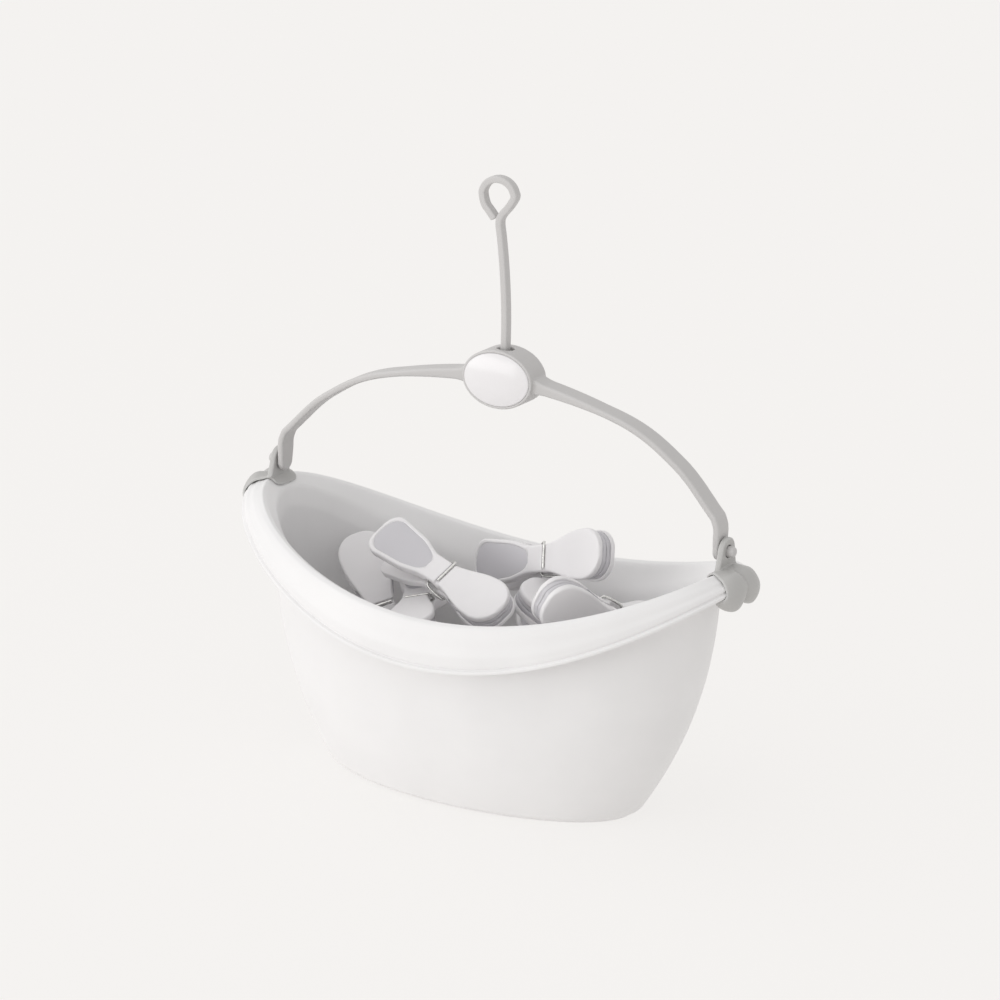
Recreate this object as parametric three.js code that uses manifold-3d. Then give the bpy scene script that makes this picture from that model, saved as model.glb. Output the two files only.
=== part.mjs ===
// Peg basket: an oval tub with a swinging handle, a swivel hook and the sprung pegs it holds.
// Millimetres, +Z up, origin under the middle of the tub, X along its length, its front towards -Y.
import * as THREE from "three";
import { mergeVertices } from "three/addons/utils/BufferGeometryUtils.js";
import Module from "manifold-3d";

const wasm = await Module();
wasm.setup();

// Gaps left between pieces that touch or turn in each other
const fit = { slip: 0.35, press: 0.3 };

// Tub: stacked ovals from the foot to the rim, each with a height at its middle and a rise to its ends
const tub = {
  around: 48,
  wall: 2.4,
  footLength: 79,
  footDepth: 40.5,
  footRound: 3,
  lipLength: 130,
  lipDepth: 73.5,
  crestInEnd: 9.5,
  crestInSide: 6,
  crestHeight: 98.5,
  crestRise: 30.5,
  crestRound: 2.3,
  bandDropSide: 22.5,
  bandDropEnd: 7,
  overhang: 16,
  wallBulge: 2.3,
  wallSteps: [0.03, 0.1, 0.2, 0.35, 0.55, 0.78, 1],
  insideSteps: [1, 0.7, 0.42, 0.22, 0.1],
  beadOut: 0.8,
  beadHeight: 2,
  bandBulge: 1.6,
};

// Clip: a saddle snapped over each end of the rim, with two rounded lobes and a pierced ear
const clip = {
  lipHalfAngle: 0.2,
  crestHalfAngle: 0.135,
  steps: 12,
  thickness: 2.4,
  sideThickness: 1.3,
  lobe: 2.6,
  drop: 3.4,
  underLip: 3,
  inward: 0.32,
  narrowing: [0, 0.2, 0.4, 0.6, 0.8, 1, 1, 1],
  earRadius: 6.5,
  earFootWidth: 17,
  earThickness: 2.8,
  earSides: 14,
};

// Handle: a strap that turns on stub pins in the ears and carries the hub
const handle = {
  earInset: 3.5,
  pinAboveRim: 8,
  pinRadius: 2.4,
  pinProud: 3.05,
  pinChamfer: 0.7,
  plateRadius: 4.9,
  thickness: 3.2,
  width: 11,
  edge: 0.7,
  bendAbovePin: 13,
  bendRound: 2,
  shoulderIn: 25,
  shoulderDrop: 24.5,
  haunchIn: 57,
  haunchDrop: 8.5,
  rootThickness: 7,
  rootReach: 52,
  steps: 26,
  roundSides: 20,
};

// Hub: an oval housing in the middle of the handle, closed by a domed badge on each side
const hub = {
  aboveRim: 69,
  halfLength: 18.2,
  halfRise: 13.8,
  halfDepth: 7.6,
  edge: 0.8,
  wall: 3.4,
  sides: 28,
  badgeLength: 16.9,
  badgeRise: 12.4,
  badgeSeat: 1.5,
  badgeDome: 2,
  badgePlug: 0.5,
};

// Hook: a flat strip with a pigtail loop, held in the hub by its round foot
const hook = {
  thickness: 3.2,
  width: 4.9,
  edge: 0.5,
  holeRadius: 4,
  footRadius: 5,
  footHeight: 3,
  bendAboveHub: 38,
  loopX: -6.3,
  loopAboveHub: 83.6,
  loopRadius: 9,
  loopStart: -40,
  loopEnd: 220,
  loopStep: 20,
  stemX: -4.4,
  stemAboveHub: 70,
  tailX: -9,
  tailAboveHub: 72.5,
};

// Peg: two alike arms that rock on a wire spring, with X from grip to jaw and the pivot at its origin
const peg = {
  gripEnd: -40,
  gripRound: 2.5,
  gripLand: 7,
  gripTaper: 1.4,
  gripEdge: 0.6,
  jawEnd: 45,
  gripHalfWidth: 11.4,
  waistHalfWidth: 6.5,
  jawHalfWidth: 12,
  gripGap: 7.6,
  waistGap: 1.2,
  eyeGap: 2.9,
  jawGap: 0.15,
  gripThickness: 3.2,
  waistHeight: 6.1,
  jawHeight: 5.9,
  wire: 1.5,
  wireSides: 5,
  coilRadius: 2.7,
  coilTurns: 3,
  coilPitch: 2.1,
  coilSteps: 8,
  barX: 6,
  barSunk: 0.85,
  slotDraft: 0.05,
};

// Pile: how the pegs are spaced where they lie on the floor and on each other
const pile = { floorGap: 1.3, layerGap: 4.9, sideGap: 1.2 };

const colour = {
  white: 0xf2f0ee,
  grey: 0xb4b2b2,
  steel: 0xc8c8c6,
};

const degrees = THREE.MathUtils.degToRad;

// Places that follow from the sizes above
const crestLength = tub.lipLength - tub.crestInEnd;
const crestDepth = tub.lipDepth - tub.crestInSide;
const lipHeight = tub.crestHeight - tub.bandDropSide;
const lipRise = tub.crestRise + tub.bandDropSide - tub.bandDropEnd;
const rimEnd = tub.crestHeight + tub.crestRise;
const plateFace = crestLength - handle.earInset;
const pinHeight = rimEnd + handle.pinAboveRim;
const pinTip = plateFace + fit.slip + clip.earThickness + handle.pinProud;
const hubHeight = rimEnd + hub.aboveRim;
const gripTop = peg.gripGap + peg.gripThickness;

// Solids: a mesh as a manifold and back
function solidOf(geometry) {
  const bare = geometry.clone();
  bare.deleteAttribute("normal");
  bare.deleteAttribute("uv");
  const merged = mergeVertices(bare, 1e-4);
  const vertProperties = merged.attributes.position.array;
  const triVerts = new Uint32Array(merged.index.array);
  return new wasm.Manifold(new wasm.Mesh({ numProp: 3, vertProperties, triVerts }));
}

function geometryOf(solid) {
  const mesh = solid.getMesh();
  const geometry = new THREE.BufferGeometry();
  geometry.setAttribute("position", new THREE.BufferAttribute(mesh.vertProperties, 3));
  geometry.setIndex(new THREE.BufferAttribute(mesh.triVerts, 1));
  return geometry;
}

// Joins loops of equal count in order and closes the first and the last by the flat outline in cap
function loft(loops, cap) {
  const count = loops[0].length;
  const positions = loops.flat().flatMap((p) => [p.x, p.y, p.z]);
  const index = [];
  for (let i = 0; i + 1 < loops.length; i++) {
    for (let j = 0; j < count; j++) {
      const a = i * count + j;
      const b = i * count + ((j + 1) % count);
      index.push(a, b, b + count, a, b + count, a + count);
    }
  }
  const last = (loops.length - 1) * count;
  const clockwise = THREE.ShapeUtils.isClockWise(cap);
  for (const [a, b, c] of THREE.ShapeUtils.triangulateShape(cap, [])) {
    const [d, e] = clockwise ? [c, b] : [b, c];
    index.push(a, e, d, last + a, last + d, last + e);
  }
  const geometry = new THREE.BufferGeometry();
  geometry.setAttribute("position", new THREE.Float32BufferAttribute(positions, 3));
  geometry.setIndex(index);
  return facingOut(geometry);
}

function facingOut(geometry) {
  const p = geometry.attributes.position;
  const index = geometry.index.array;
  const corner = (k) => new THREE.Vector3().fromBufferAttribute(p, index[k]);
  let volume = 0;
  for (let k = 0; k < index.length; k += 3) {
    volume += corner(k).dot(corner(k + 1).cross(corner(k + 2)));
  }
  if (volume < 0) {
    for (let k = 0; k < index.length; k += 3) {
      [index[k + 1], index[k + 2]] = [index[k + 2], index[k + 1]];
    }
  }
  return geometry;
}

// Extrudes an outline drawn in X and Z through a width centred on Y, with its edges taken off
function across(outline, width, edge) {
  const depth = width - 2 * edge;
  const shape = new THREE.Shape(outline);
  const bevel = { bevelEnabled: edge > 0, bevelThickness: edge, bevelSize: edge, bevelOffset: -edge };
  const geometry = new THREE.ExtrudeGeometry(shape, { depth, bevelSegments: 1, ...bevel });
  return geometry.translate(0, 0, -depth / 2).rotateX(Math.PI / 2);
}

// A round bar along X
function barAlongX(radius, from, to, sides) {
  const geometry = new THREE.CylinderGeometry(radius, radius, to - from, sides);
  return geometry.rotateZ(-Math.PI / 2).translate((from + to) / 2, 0, 0);
}

function oval(halfLength, halfRise, sides) {
  const points = [];
  for (let i = 0; i < sides; i++) {
    const angle = (2 * Math.PI * i) / sides;
    points.push(new THREE.Vector2(halfLength * Math.cos(angle), halfRise * Math.sin(angle)));
  }
  return points;
}

// Widens a line of points into an outline with the given thickness at each point
function strip(line, thicknessAt) {
  const side = (sign) =>
    line.map((p, i) => {
      const before = line[Math.max(i - 1, 0)];
      const after = line[Math.min(i + 1, line.length - 1)];
      const along = new THREE.Vector2().subVectors(after, before).normalize();
      const half = (sign * thicknessAt(i)) / 2;
      return new THREE.Vector2(p.x - along.y * half, p.y + along.x * half);
    });
  return [...side(1), ...side(-1).reverse()];
}

// Tub
const ring = (length, depth, height, rise) => ({ length, depth, height, rise });
const lipRing = ring(tub.lipLength, tub.lipDepth, lipHeight, lipRise);
const crestRing = ring(crestLength, crestDepth, tub.crestHeight, tub.crestRise);

function moved(base, out, up) {
  return ring(base.length + out, base.depth + out, base.height + up, base.rise);
}

function between(a, b, t) {
  const mix = (key) => a[key] + (b[key] - a[key]) * t;
  return ring(mix("length"), mix("depth"), mix("height"), mix("rise"));
}

function pointOn(base, angle) {
  const c = Math.cos(angle);
  const height = base.height + base.rise * c * c;
  return new THREE.Vector3(base.length * c, base.depth * Math.sin(angle), height);
}

function wallRing(step) {
  const foot = ring(tub.footLength, tub.footDepth, 0, 0);
  const top = moved(lipRing, -tub.overhang, 0);
  const spread = 1 - (1 - step) ** tub.wallBulge;
  const plan = between(foot, top, spread);
  return ring(plan.length, plan.depth, top.height * step, top.rise * step);
}

const rim = {
  lipInner: moved(lipRing, -tub.wall, 0.4 * tub.beadHeight),
  lipBottom: moved(lipRing, tub.beadOut, 0),
  lipTop: moved(lipRing, tub.beadOut, tub.beadHeight),
  bandLow: moved(lipRing, -0.25 * tub.beadOut, tub.beadHeight + tub.beadOut),
  bandMid: moved(between(lipRing, crestRing, 0.5), tub.bandBulge, 0.6 * tub.bandBulge),
  crestOut: moved(crestRing, tub.crestRound, -0.45 * tub.crestRound),
  crestIn: moved(crestRing, -tub.crestRound, -0.5 * tub.crestRound),
  insideTop: moved(wallRing(1), -tub.wall, 0),
};

function tubGeometry() {
  const floor = ring(tub.footLength - tub.wall, tub.footDepth - tub.wall, tub.wall, 0);
  const rings = [
    ring(tub.footLength - tub.footRound, tub.footDepth - tub.footRound, 0, 0),
    ...tub.wallSteps.map(wallRing),
    moved(crestRing, -0.4 * tub.wall, -1.4 * tub.wall),
    rim.lipInner,
    rim.lipBottom,
    rim.lipTop,
    rim.bandLow,
    rim.bandMid,
    rim.crestOut,
    crestRing,
    rim.crestIn,
    ...tub.insideSteps.map((step) => moved(wallRing(step), -tub.wall, 0)),
    floor,
  ];
  const loops = rings.map((base) => {
    const loop = [];
    for (let i = 0; i < tub.around; i++) {
      loop.push(pointOn(base, (2 * Math.PI * i) / tub.around));
    }
    return loop;
  });
  return loft(loops, oval(tub.footLength, tub.footDepth, tub.around));
}

// Clips: lines inside and outside follow the rim, so a section is the strip between them
function clipLines(bulk, lobe) {
  const gap = fit.slip;
  const far = fit.slip + bulk;
  const inEnd = between(rim.crestIn, rim.insideTop, clip.inward);
  const inside = [
    moved(lipRing, -clip.underLip, -gap),
    moved(rim.lipBottom, gap, -gap),
    moved(rim.lipTop, gap, gap),
    moved(rim.bandMid, gap, gap),
    moved(rim.crestOut, gap, gap),
    moved(crestRing, 0, gap),
    moved(rim.crestIn, -gap, 0.6 * gap),
    moved(inEnd, -gap, 0),
  ];
  const outside = [
    moved(lipRing, -clip.underLip, -far - 0.5 * clip.drop),
    moved(rim.lipBottom, 0.4 * far, -far - clip.drop),
    moved(rim.lipTop, far + 0.7 * lobe, 0.3 * far),
    moved(rim.bandMid, far + 0.6 * lobe, 0.8 * far + 0.6 * lobe),
    moved(rim.crestOut, 0.7 * far, far + 0.7 * lobe),
    moved(crestRing, -0.2 * far, far + 0.4 * lobe),
    moved(rim.crestIn, -far, 0.7 * far),
    moved(inEnd, -far, 0),
  ];
  return [...inside, ...outside.reverse()];
}

// Two swellings side by side, thinning to the clip's two ends, and narrower at the crest than at the lip
function clipSolid() {
  const narrowing = [...clip.narrowing, ...clip.narrowing.toReversed()];
  const spans = narrowing.map((up) => THREE.MathUtils.lerp(clip.lipHalfAngle, clip.crestHalfAngle, up));
  const loops = [];
  for (let i = 0; i <= clip.steps; i++) {
    const aside = (2 * i) / clip.steps - 1;
    const swell = Math.sin(Math.PI * Math.abs(aside)) ** 2;
    const toEnd = Math.max(0, 2 * Math.abs(aside) - 1);
    const bulk = THREE.MathUtils.lerp(clip.thickness, clip.sideThickness, toEnd ** 2);
    const lines = clipLines(bulk, clip.lobe * swell);
    loops.push(lines.map((base, line) => pointOn(base, aside * spans[line])));
  }
  const middle = clipLines(clip.thickness, 0);
  const section = middle.map((base) => new THREE.Vector2(base.length, base.height + base.rise));
  return solidOf(loft(loops, section)).add(earSolid());
}

function earSolid() {
  const foot = rimEnd + 2 * fit.slip - pinHeight;
  const outline = [new THREE.Vector2(clip.earFootWidth / 2, foot)];
  for (let i = 0; i <= clip.earSides; i++) {
    const angle = (Math.PI * i) / clip.earSides;
    outline.push(new THREE.Vector2(clip.earRadius * Math.cos(angle), clip.earRadius * Math.sin(angle)));
  }
  outline.push(new THREE.Vector2(-clip.earFootWidth / 2, foot));
  const depth = clip.earThickness;
  const plate = new THREE.ExtrudeGeometry(new THREE.Shape(outline), { depth, bevelEnabled: false });
  plate.rotateX(Math.PI / 2).rotateZ(Math.PI / 2);
  plate.translate(plateFace + fit.slip, 0, pinHeight);
  const hole = barAlongX(handle.pinRadius + fit.slip, plateFace, pinTip, handle.roundSides);
  return solidOf(plate).subtract(solidOf(hole.translate(0, 0, pinHeight)));
}

// Handle
function handleOutline() {
  const x = plateFace - handle.thickness / 2;
  const shoulder = plateFace - handle.shoulderIn;
  const haunch = plateFace - handle.haunchIn;
  const bend = pinHeight + handle.bendAbovePin;
  const arch = new THREE.SplineCurve([
    new THREE.Vector2(x - 0.8 * handle.bendRound, bend + handle.bendRound),
    new THREE.Vector2(shoulder, hubHeight - handle.shoulderDrop),
    new THREE.Vector2(haunch, hubHeight - handle.haunchDrop),
    new THREE.Vector2(0, hubHeight),
    new THREE.Vector2(-haunch, hubHeight - handle.haunchDrop),
    new THREE.Vector2(-shoulder, hubHeight - handle.shoulderDrop),
    new THREE.Vector2(0.8 * handle.bendRound - x, bend + handle.bendRound),
  ]);
  const line = [
    new THREE.Vector2(x, pinHeight),
    new THREE.Vector2(x, bend - handle.bendRound),
    ...arch.getPoints(handle.steps),
    new THREE.Vector2(-x, bend - handle.bendRound),
    new THREE.Vector2(-x, pinHeight),
  ];
  const flare = handle.rootThickness - handle.thickness;
  const nearHub = (i) => Math.max(0, 1 - Math.abs(line[i].x) / handle.rootReach);
  return strip(line, (i) => handle.thickness + flare * nearHub(i));
}

function handleSolid() {
  const inner = { length: hub.halfLength - hub.wall, rise: hub.halfRise - hub.wall };
  const seat = { length: hub.badgeLength + fit.press, rise: hub.badgeRise + fit.press };
  const depth = 2 * hub.halfDepth;
  const lift = (geometry) => solidOf(geometry.translate(0, 0, hubHeight));
  let solid = solidOf(across(handleOutline(), handle.width, handle.edge));
  solid = solid.add(lift(across(oval(hub.halfLength, hub.halfRise, hub.sides), depth, hub.edge)));
  solid = solid.subtract(lift(across(oval(inner.length, inner.rise, hub.sides), 2 * depth, 0)));
  for (const side of [-1, 1]) {
    const recess = across(oval(seat.length, seat.rise, hub.sides), 2 * hub.badgeSeat, 0);
    solid = solid.subtract(lift(recess.translate(0, side * hub.halfDepth, 0)));
  }
  const { holeRadius } = hook;
  const hole = new THREE.CylinderGeometry(holeRadius, holeRadius, hub.halfRise, handle.roundSides);
  hole.rotateX(Math.PI / 2).translate(0, 0, hub.halfRise);
  solid = solid.subtract(lift(hole));
  for (const turn of [0, Math.PI]) {
    const end = plateFace - handle.thickness;
    const disc = barAlongX(handle.plateRadius, end, plateFace, handle.roundSides);
    const tip = pinTip - handle.pinChamfer;
    const pin = barAlongX(handle.pinRadius, end + handle.thickness / 2, tip, handle.roundSides);
    const cone = new THREE.CylinderGeometry(
      handle.pinRadius - handle.pinChamfer,
      handle.pinRadius,
      handle.pinChamfer,
      handle.roundSides,
    );
    cone.rotateZ(-Math.PI / 2).translate(tip + handle.pinChamfer / 2, 0, 0);
    for (const piece of [disc, pin, cone]) {
      solid = solid.add(solidOf(piece.rotateZ(turn).translate(0, 0, pinHeight)));
    }
  }
  return solid;
}

// Badge: a bare domed oval whose plug sits in the hub; it faces -Y
function badgeGeometry() {
  const face = hub.halfDepth;
  const seat = face - hub.badgeSeat + fit.press;
  const plug = hub.wall + fit.press;
  const layers = [
    [hub.halfLength - plug, hub.halfRise - plug, seat - hub.badgePlug],
    [hub.halfLength - plug, hub.halfRise - plug, seat],
    [hub.badgeLength, hub.badgeRise, seat],
    [hub.badgeLength, hub.badgeRise, face],
    [0.93 * hub.badgeLength, 0.93 * hub.badgeRise, face + 0.45 * hub.badgeDome],
    [0.72 * hub.badgeLength, 0.72 * hub.badgeRise, face + 0.82 * hub.badgeDome],
    [0.4 * hub.badgeLength, 0.4 * hub.badgeRise, face + hub.badgeDome],
  ];
  const loops = layers.map(([length, rise, y]) =>
    oval(length, rise, hub.sides).map((p) => new THREE.Vector3(p.x, -y, p.y + hubHeight)),
  );
  return loft(loops, oval(hub.badgeLength, hub.badgeRise, hub.sides));
}

// Hook
function hookSolid() {
  const { footRadius, footHeight } = hook;
  const reach = footRadius / (hub.halfLength - hub.wall);
  const ceiling = (hub.halfRise - hub.wall) * Math.sqrt(1 - reach ** 2);
  const footTop = hubHeight + ceiling - fit.slip;
  const line = [
    new THREE.Vector2(0, footTop - footHeight / 2),
    new THREE.Vector2(0, hubHeight + hook.bendAboveHub),
    new THREE.Vector2(0.35 * hook.stemX, hubHeight + (hook.bendAboveHub + hook.stemAboveHub) / 2),
    new THREE.Vector2(hook.stemX, hubHeight + hook.stemAboveHub),
  ];
  for (let turn = hook.loopStart; turn <= hook.loopEnd; turn += hook.loopStep) {
    const x = hook.loopX + hook.loopRadius * Math.cos(degrees(turn));
    const z = hook.loopAboveHub + hook.loopRadius * Math.sin(degrees(turn));
    line.push(new THREE.Vector2(x, hubHeight + z));
  }
  line.push(new THREE.Vector2(hook.tailX, hubHeight + hook.tailAboveHub));
  const bar = across(strip(line, () => hook.thickness), hook.width, hook.edge);
  const foot = new THREE.CylinderGeometry(footRadius, footRadius, footHeight, handle.roundSides);
  foot.rotateX(Math.PI / 2).translate(0, 0, footTop - footHeight / 2);
  return solidOf(bar).add(solidOf(foot));
}

// Upper arm of a peg: a station is a distance along, a half width, an inner height and an outer height
function armGeometry() {
  const groove = peg.coilRadius + peg.wire / 2 + fit.slip;
  const grooveAt = (x) => Math.sqrt(groove * groove - x * x);
  const shoulder = grooveAt(peg.waistGap);
  const barFloor = peg.waistHeight - peg.barSunk - fit.slip;
  const barSide = peg.wire / 2 + fit.slip;
  const round = peg.gripEnd + peg.gripRound;
  const land = peg.gripEnd + peg.gripLand;
  const waist = (x, inner, outer) => [x, peg.waistHalfWidth, inner, outer];
  const stations = [
    [peg.gripEnd, 0.55 * peg.gripHalfWidth, peg.gripGap, gripTop - peg.gripEdge],
    [round, 0.87 * peg.gripHalfWidth, peg.gripGap - 0.35 * peg.gripTaper, gripTop],
    [land, peg.gripHalfWidth, peg.gripGap - peg.gripTaper, gripTop - 0.5 * peg.gripEdge],
    [0.4 * peg.gripEnd, 0.84 * peg.gripHalfWidth, 0.42 * peg.gripGap, 0.72 * gripTop],
    waist(-1.7 * shoulder, 1.25 * peg.waistGap, peg.waistHeight),
    waist(-shoulder, peg.waistGap, peg.waistHeight),
    waist(-0.7 * groove, grooveAt(0.7 * groove), peg.waistHeight),
    waist(0, groove, peg.waistHeight),
    waist(0.7 * groove, grooveAt(0.7 * groove), peg.waistHeight),
    waist(shoulder, peg.waistGap, peg.waistHeight),
    waist(peg.barX - barSide, peg.waistGap, peg.waistHeight),
    waist(peg.barX - barSide + peg.slotDraft, peg.waistGap, barFloor),
    waist(peg.barX + barSide - peg.slotDraft, peg.waistGap, barFloor),
    waist(peg.barX + barSide, peg.waistGap, peg.waistHeight),
    [0.22 * peg.jawEnd, 1.06 * peg.waistHalfWidth, peg.waistGap, peg.waistHeight],
    [0.31 * peg.jawEnd, 0.66 * peg.jawHalfWidth, peg.eyeGap, peg.waistHeight],
    [0.43 * peg.jawEnd, 0.8 * peg.jawHalfWidth, peg.eyeGap, 0.96 * peg.jawHeight],
    [0.49 * peg.jawEnd, 0.87 * peg.jawHalfWidth, peg.jawGap, peg.jawHeight],
    [0.62 * peg.jawEnd, 0.97 * peg.jawHalfWidth, peg.jawGap, peg.jawHeight],
    [0.76 * peg.jawEnd, peg.jawHalfWidth, peg.jawGap, peg.jawHeight],
    [0.89 * peg.jawEnd, 0.86 * peg.jawHalfWidth, peg.jawGap, 0.95 * peg.jawHeight],
    [0.97 * peg.jawEnd, 0.58 * peg.jawHalfWidth, peg.jawGap, 0.88 * peg.jawHeight],
    [peg.jawEnd, 0.26 * peg.jawHalfWidth, peg.jawGap, 0.8 * peg.jawHeight],
  ];
  const loops = stations.map(([x, half, inner, outer]) => [
    new THREE.Vector3(x, -half, inner),
    new THREE.Vector3(x, half, inner),
    new THREE.Vector3(x, half, outer),
    new THREE.Vector3(x, -half, outer),
  ]);
  const corners = [[-1, -1], [1, -1], [1, 1], [-1, 1]].map(([y, z]) => new THREE.Vector2(y, z));
  return loft(loops, corners);
}

// Line through given points, one step of the tube to each
class PointLine extends THREE.Curve {
  constructor(points) {
    super();
    this.points = points;
  }

  getPointAt(t) {
    const last = this.points.length - 1;
    const at = Math.min(t, 1) * last;
    const from = Math.min(Math.floor(at), last - 1);
    return this.points[from].clone().lerp(this.points[from + 1], at - from);
  }

  getTangentAt(t) {
    const last = this.points.length - 1;
    const at = Math.round(t * last);
    const before = this.points[Math.max(at - 1, 0)];
    const after = this.points[Math.min(at + 1, last)];
    return after.clone().sub(before).normalize();
  }
}

// Spring wire: a coil between the arms, with a leg at each end round the edge to a bar on an outer face
function springLine() {
  const edge = peg.waistHalfWidth + fit.slip + peg.wire / 2;
  const barHeight = peg.waistHeight + peg.wire / 2 - peg.barSunk;
  const coilEnd = (peg.coilTurns * peg.coilPitch) / 2;
  const back = -peg.coilRadius;
  const leg = [
    new THREE.Vector3(back, edge - peg.wire, 0),
    new THREE.Vector3(back + 0.5 * peg.wire, edge, 0.4 * peg.wire),
    new THREE.Vector3(peg.barX - 0.5 * peg.wire, edge, barHeight - 0.4 * peg.wire),
    new THREE.Vector3(peg.barX, edge - 0.6 * peg.wire, barHeight),
    new THREE.Vector3(peg.barX, edge - 1.6 * peg.wire, barHeight),
    new THREE.Vector3(peg.barX, peg.wire - peg.waistHalfWidth, barHeight),
  ];
  const coil = [];
  const steps = peg.coilTurns * peg.coilSteps;
  for (let i = 0; i <= steps; i++) {
    const along = i / steps - 0.5;
    const angle = 2 * Math.PI * peg.coilTurns * along;
    const x = peg.coilRadius * Math.cos(angle);
    coil.push(new THREE.Vector3(x, 2 * coilEnd * along, peg.coilRadius * Math.sin(angle)));
  }
  const turned = leg.map((p) => new THREE.Vector3(p.x, -p.y, -p.z)).reverse();
  return [...turned, ...coil, ...leg];
}

// Least gap between stretches of the wire that are more than half a turn apart
function leastGap(points) {
  let least = Infinity;
  const away = peg.coilSteps / 2;
  for (let i = 0; i < points.length; i++) {
    for (let j = i + away + 1; j < points.length; j++) {
      least = Math.min(least, points[i].distanceTo(points[j]) - peg.wire);
    }
  }
  return least;
}

function springGeometry() {
  const points = springLine();
  const shape = new THREE.Shape(oval(peg.wire / 2, peg.wire / 2, peg.wireSides));
  const extrudePath = new PointLine(points);
  return new THREE.ExtrudeGeometry(shape, { steps: points.length - 1, extrudePath });
}

// Where each peg lies: its layer, its pivot as shares of the half length and half depth of the room inside
// and a height above that layer, then degrees of turn about Z, of tilt, jaw down, and of roll
const room = moved(lipRing, -tub.overhang - tub.wall, 0);
const rowStep = (peg.gripHalfWidth + peg.jawHalfWidth + pile.sideGap) / room.depth;
const layerStep = 2 * gripTop + pile.layerGap;
const pegPoses = {
  peg_a: { layer: 2, at: [-0.215, -0.145, 31.5], turn: -19, tilt: 9, roll: 36 },
  peg_b: { layer: 2, at: [0.116, 0.454, 38.5], turn: -20, tilt: -19, roll: 74 },
  peg_c: { layer: 2, at: [0.584, -0.11, 28.2], turn: -113, tilt: -21, roll: -106 },
  peg_d: { layer: 2, at: [-0.538, 0.109, -0.5], turn: 150, tilt: -46, roll: -30 },
  peg_e: { layer: 2, at: [-0.344, -0.043, 13.7], turn: -66, tilt: 0, roll: 14 },
  peg_f: { layer: 2, at: [0.179, 0.091, 1.5], turn: -65, tilt: 0, roll: 0 },
  peg_g: { layer: 2, at: [0.439, 0.178, 6.7], turn: -179, tilt: -29, roll: -6 },
  peg_h: { layer: 1, at: [-0.09, -0.045, 0], turn: 90, tilt: 0, roll: 0 },
  peg_i: { layer: 1, at: [0.15, 0.045, 0], turn: -90, tilt: 0, roll: 0 },
  peg_j: { layer: 0, at: [0, -rowStep / 2, 0], turn: 0, tilt: 0, roll: 0 },
  peg_k: { layer: 0, at: [0, rowStep / 2, 0], turn: 180, tilt: 0, roll: 0 },
};

function pegMatrix({ layer, at: [along, aside, lift], turn, tilt, roll }) {
  const turns = new THREE.Euler(degrees(roll), degrees(tilt), degrees(turn), "ZYX");
  const matrix = new THREE.Matrix4().makeRotationFromEuler(turns);
  const z = tub.wall + pile.floorGap + gripTop + layer * layerStep + lift;
  return matrix.setPosition(along * room.length, aside * room.depth, z);
}

const basket = new THREE.Group();
basket.name = "peg_basket";

function place(name, geometry, hue, matrix) {
  const metalness = hue === colour.steel ? 1 : 0;
  const material = new THREE.MeshStandardMaterial({ color: hue, roughness: 0.5, metalness });
  const mesh = new THREE.Mesh(geometry, material);
  mesh.name = name;
  if (matrix) mesh.applyMatrix4(matrix);
  basket.add(mesh);
}

const halfTurn = new THREE.Matrix4().makeRotationZ(Math.PI);
const clipGeometry = geometryOf(clipSolid());
place("tub", tubGeometry(), colour.white);
place("rim_clip_right", clipGeometry, colour.grey);
place("rim_clip_left", clipGeometry.clone(), colour.grey, halfTurn);
place("handle", geometryOf(handleSolid()), colour.grey);
place("badge_front", badgeGeometry(), colour.white);
place("badge_back", badgeGeometry(), colour.white, halfTurn);
place("hook", geometryOf(hookSolid()), colour.grey);

const arm = armGeometry();
const spring = springGeometry();
const underside = new THREE.Matrix4().makeRotationX(Math.PI);
for (const [name, pose] of Object.entries(pegPoses)) {
  const matrix = pegMatrix(pose);
  place(`${name}_upper_arm`, arm.clone(), colour.white, matrix);
  place(`${name}_lower_arm`, arm.clone(), colour.white, matrix.clone().multiply(underside));
  place(`${name}_spring`, spring.clone(), colour.steel, matrix);
}
console.log(`least gap in a peg spring ${leastGap(springLine()).toFixed(2)} mm`);

export default basket;
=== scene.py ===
# %% [markdown]
# A peg basket, dressed over its own solid model. The solid model fixes every place and size, and this file
# gives each piece its real curves and finish. All objects are in metres, stand at the origin unturned, and
# carry their place in their mesh.

# %% Load the solid model
import math

import bmesh
import bpy
import numpy as np
from mathutils import Euler, Matrix, Vector


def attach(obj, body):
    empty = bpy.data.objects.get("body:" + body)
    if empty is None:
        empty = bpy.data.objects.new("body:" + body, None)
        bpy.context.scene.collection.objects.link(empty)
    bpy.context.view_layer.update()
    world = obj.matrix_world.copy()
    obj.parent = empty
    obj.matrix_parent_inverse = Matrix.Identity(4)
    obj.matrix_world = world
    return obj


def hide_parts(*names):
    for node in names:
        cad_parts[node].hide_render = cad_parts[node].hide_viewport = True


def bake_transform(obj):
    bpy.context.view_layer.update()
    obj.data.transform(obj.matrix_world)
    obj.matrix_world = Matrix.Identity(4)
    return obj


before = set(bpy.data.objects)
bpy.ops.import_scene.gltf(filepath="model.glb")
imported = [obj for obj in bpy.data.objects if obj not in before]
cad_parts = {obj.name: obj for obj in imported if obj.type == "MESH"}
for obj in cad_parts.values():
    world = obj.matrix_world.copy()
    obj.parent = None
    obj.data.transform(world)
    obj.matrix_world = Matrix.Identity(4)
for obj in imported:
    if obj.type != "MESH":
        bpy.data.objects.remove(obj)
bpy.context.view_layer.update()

mm = 0.001

# %% [markdown]
# A node tree is long to write by hand, in a finish as well as in geometry. One helper adds a node and fills
# its inputs, by a link where it is given a socket and by a number where not. A second one does the same for
# plain sums. Colours are written as they look on a screen, from 0 to 255, and a third helper turns them
# into linear light.

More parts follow.
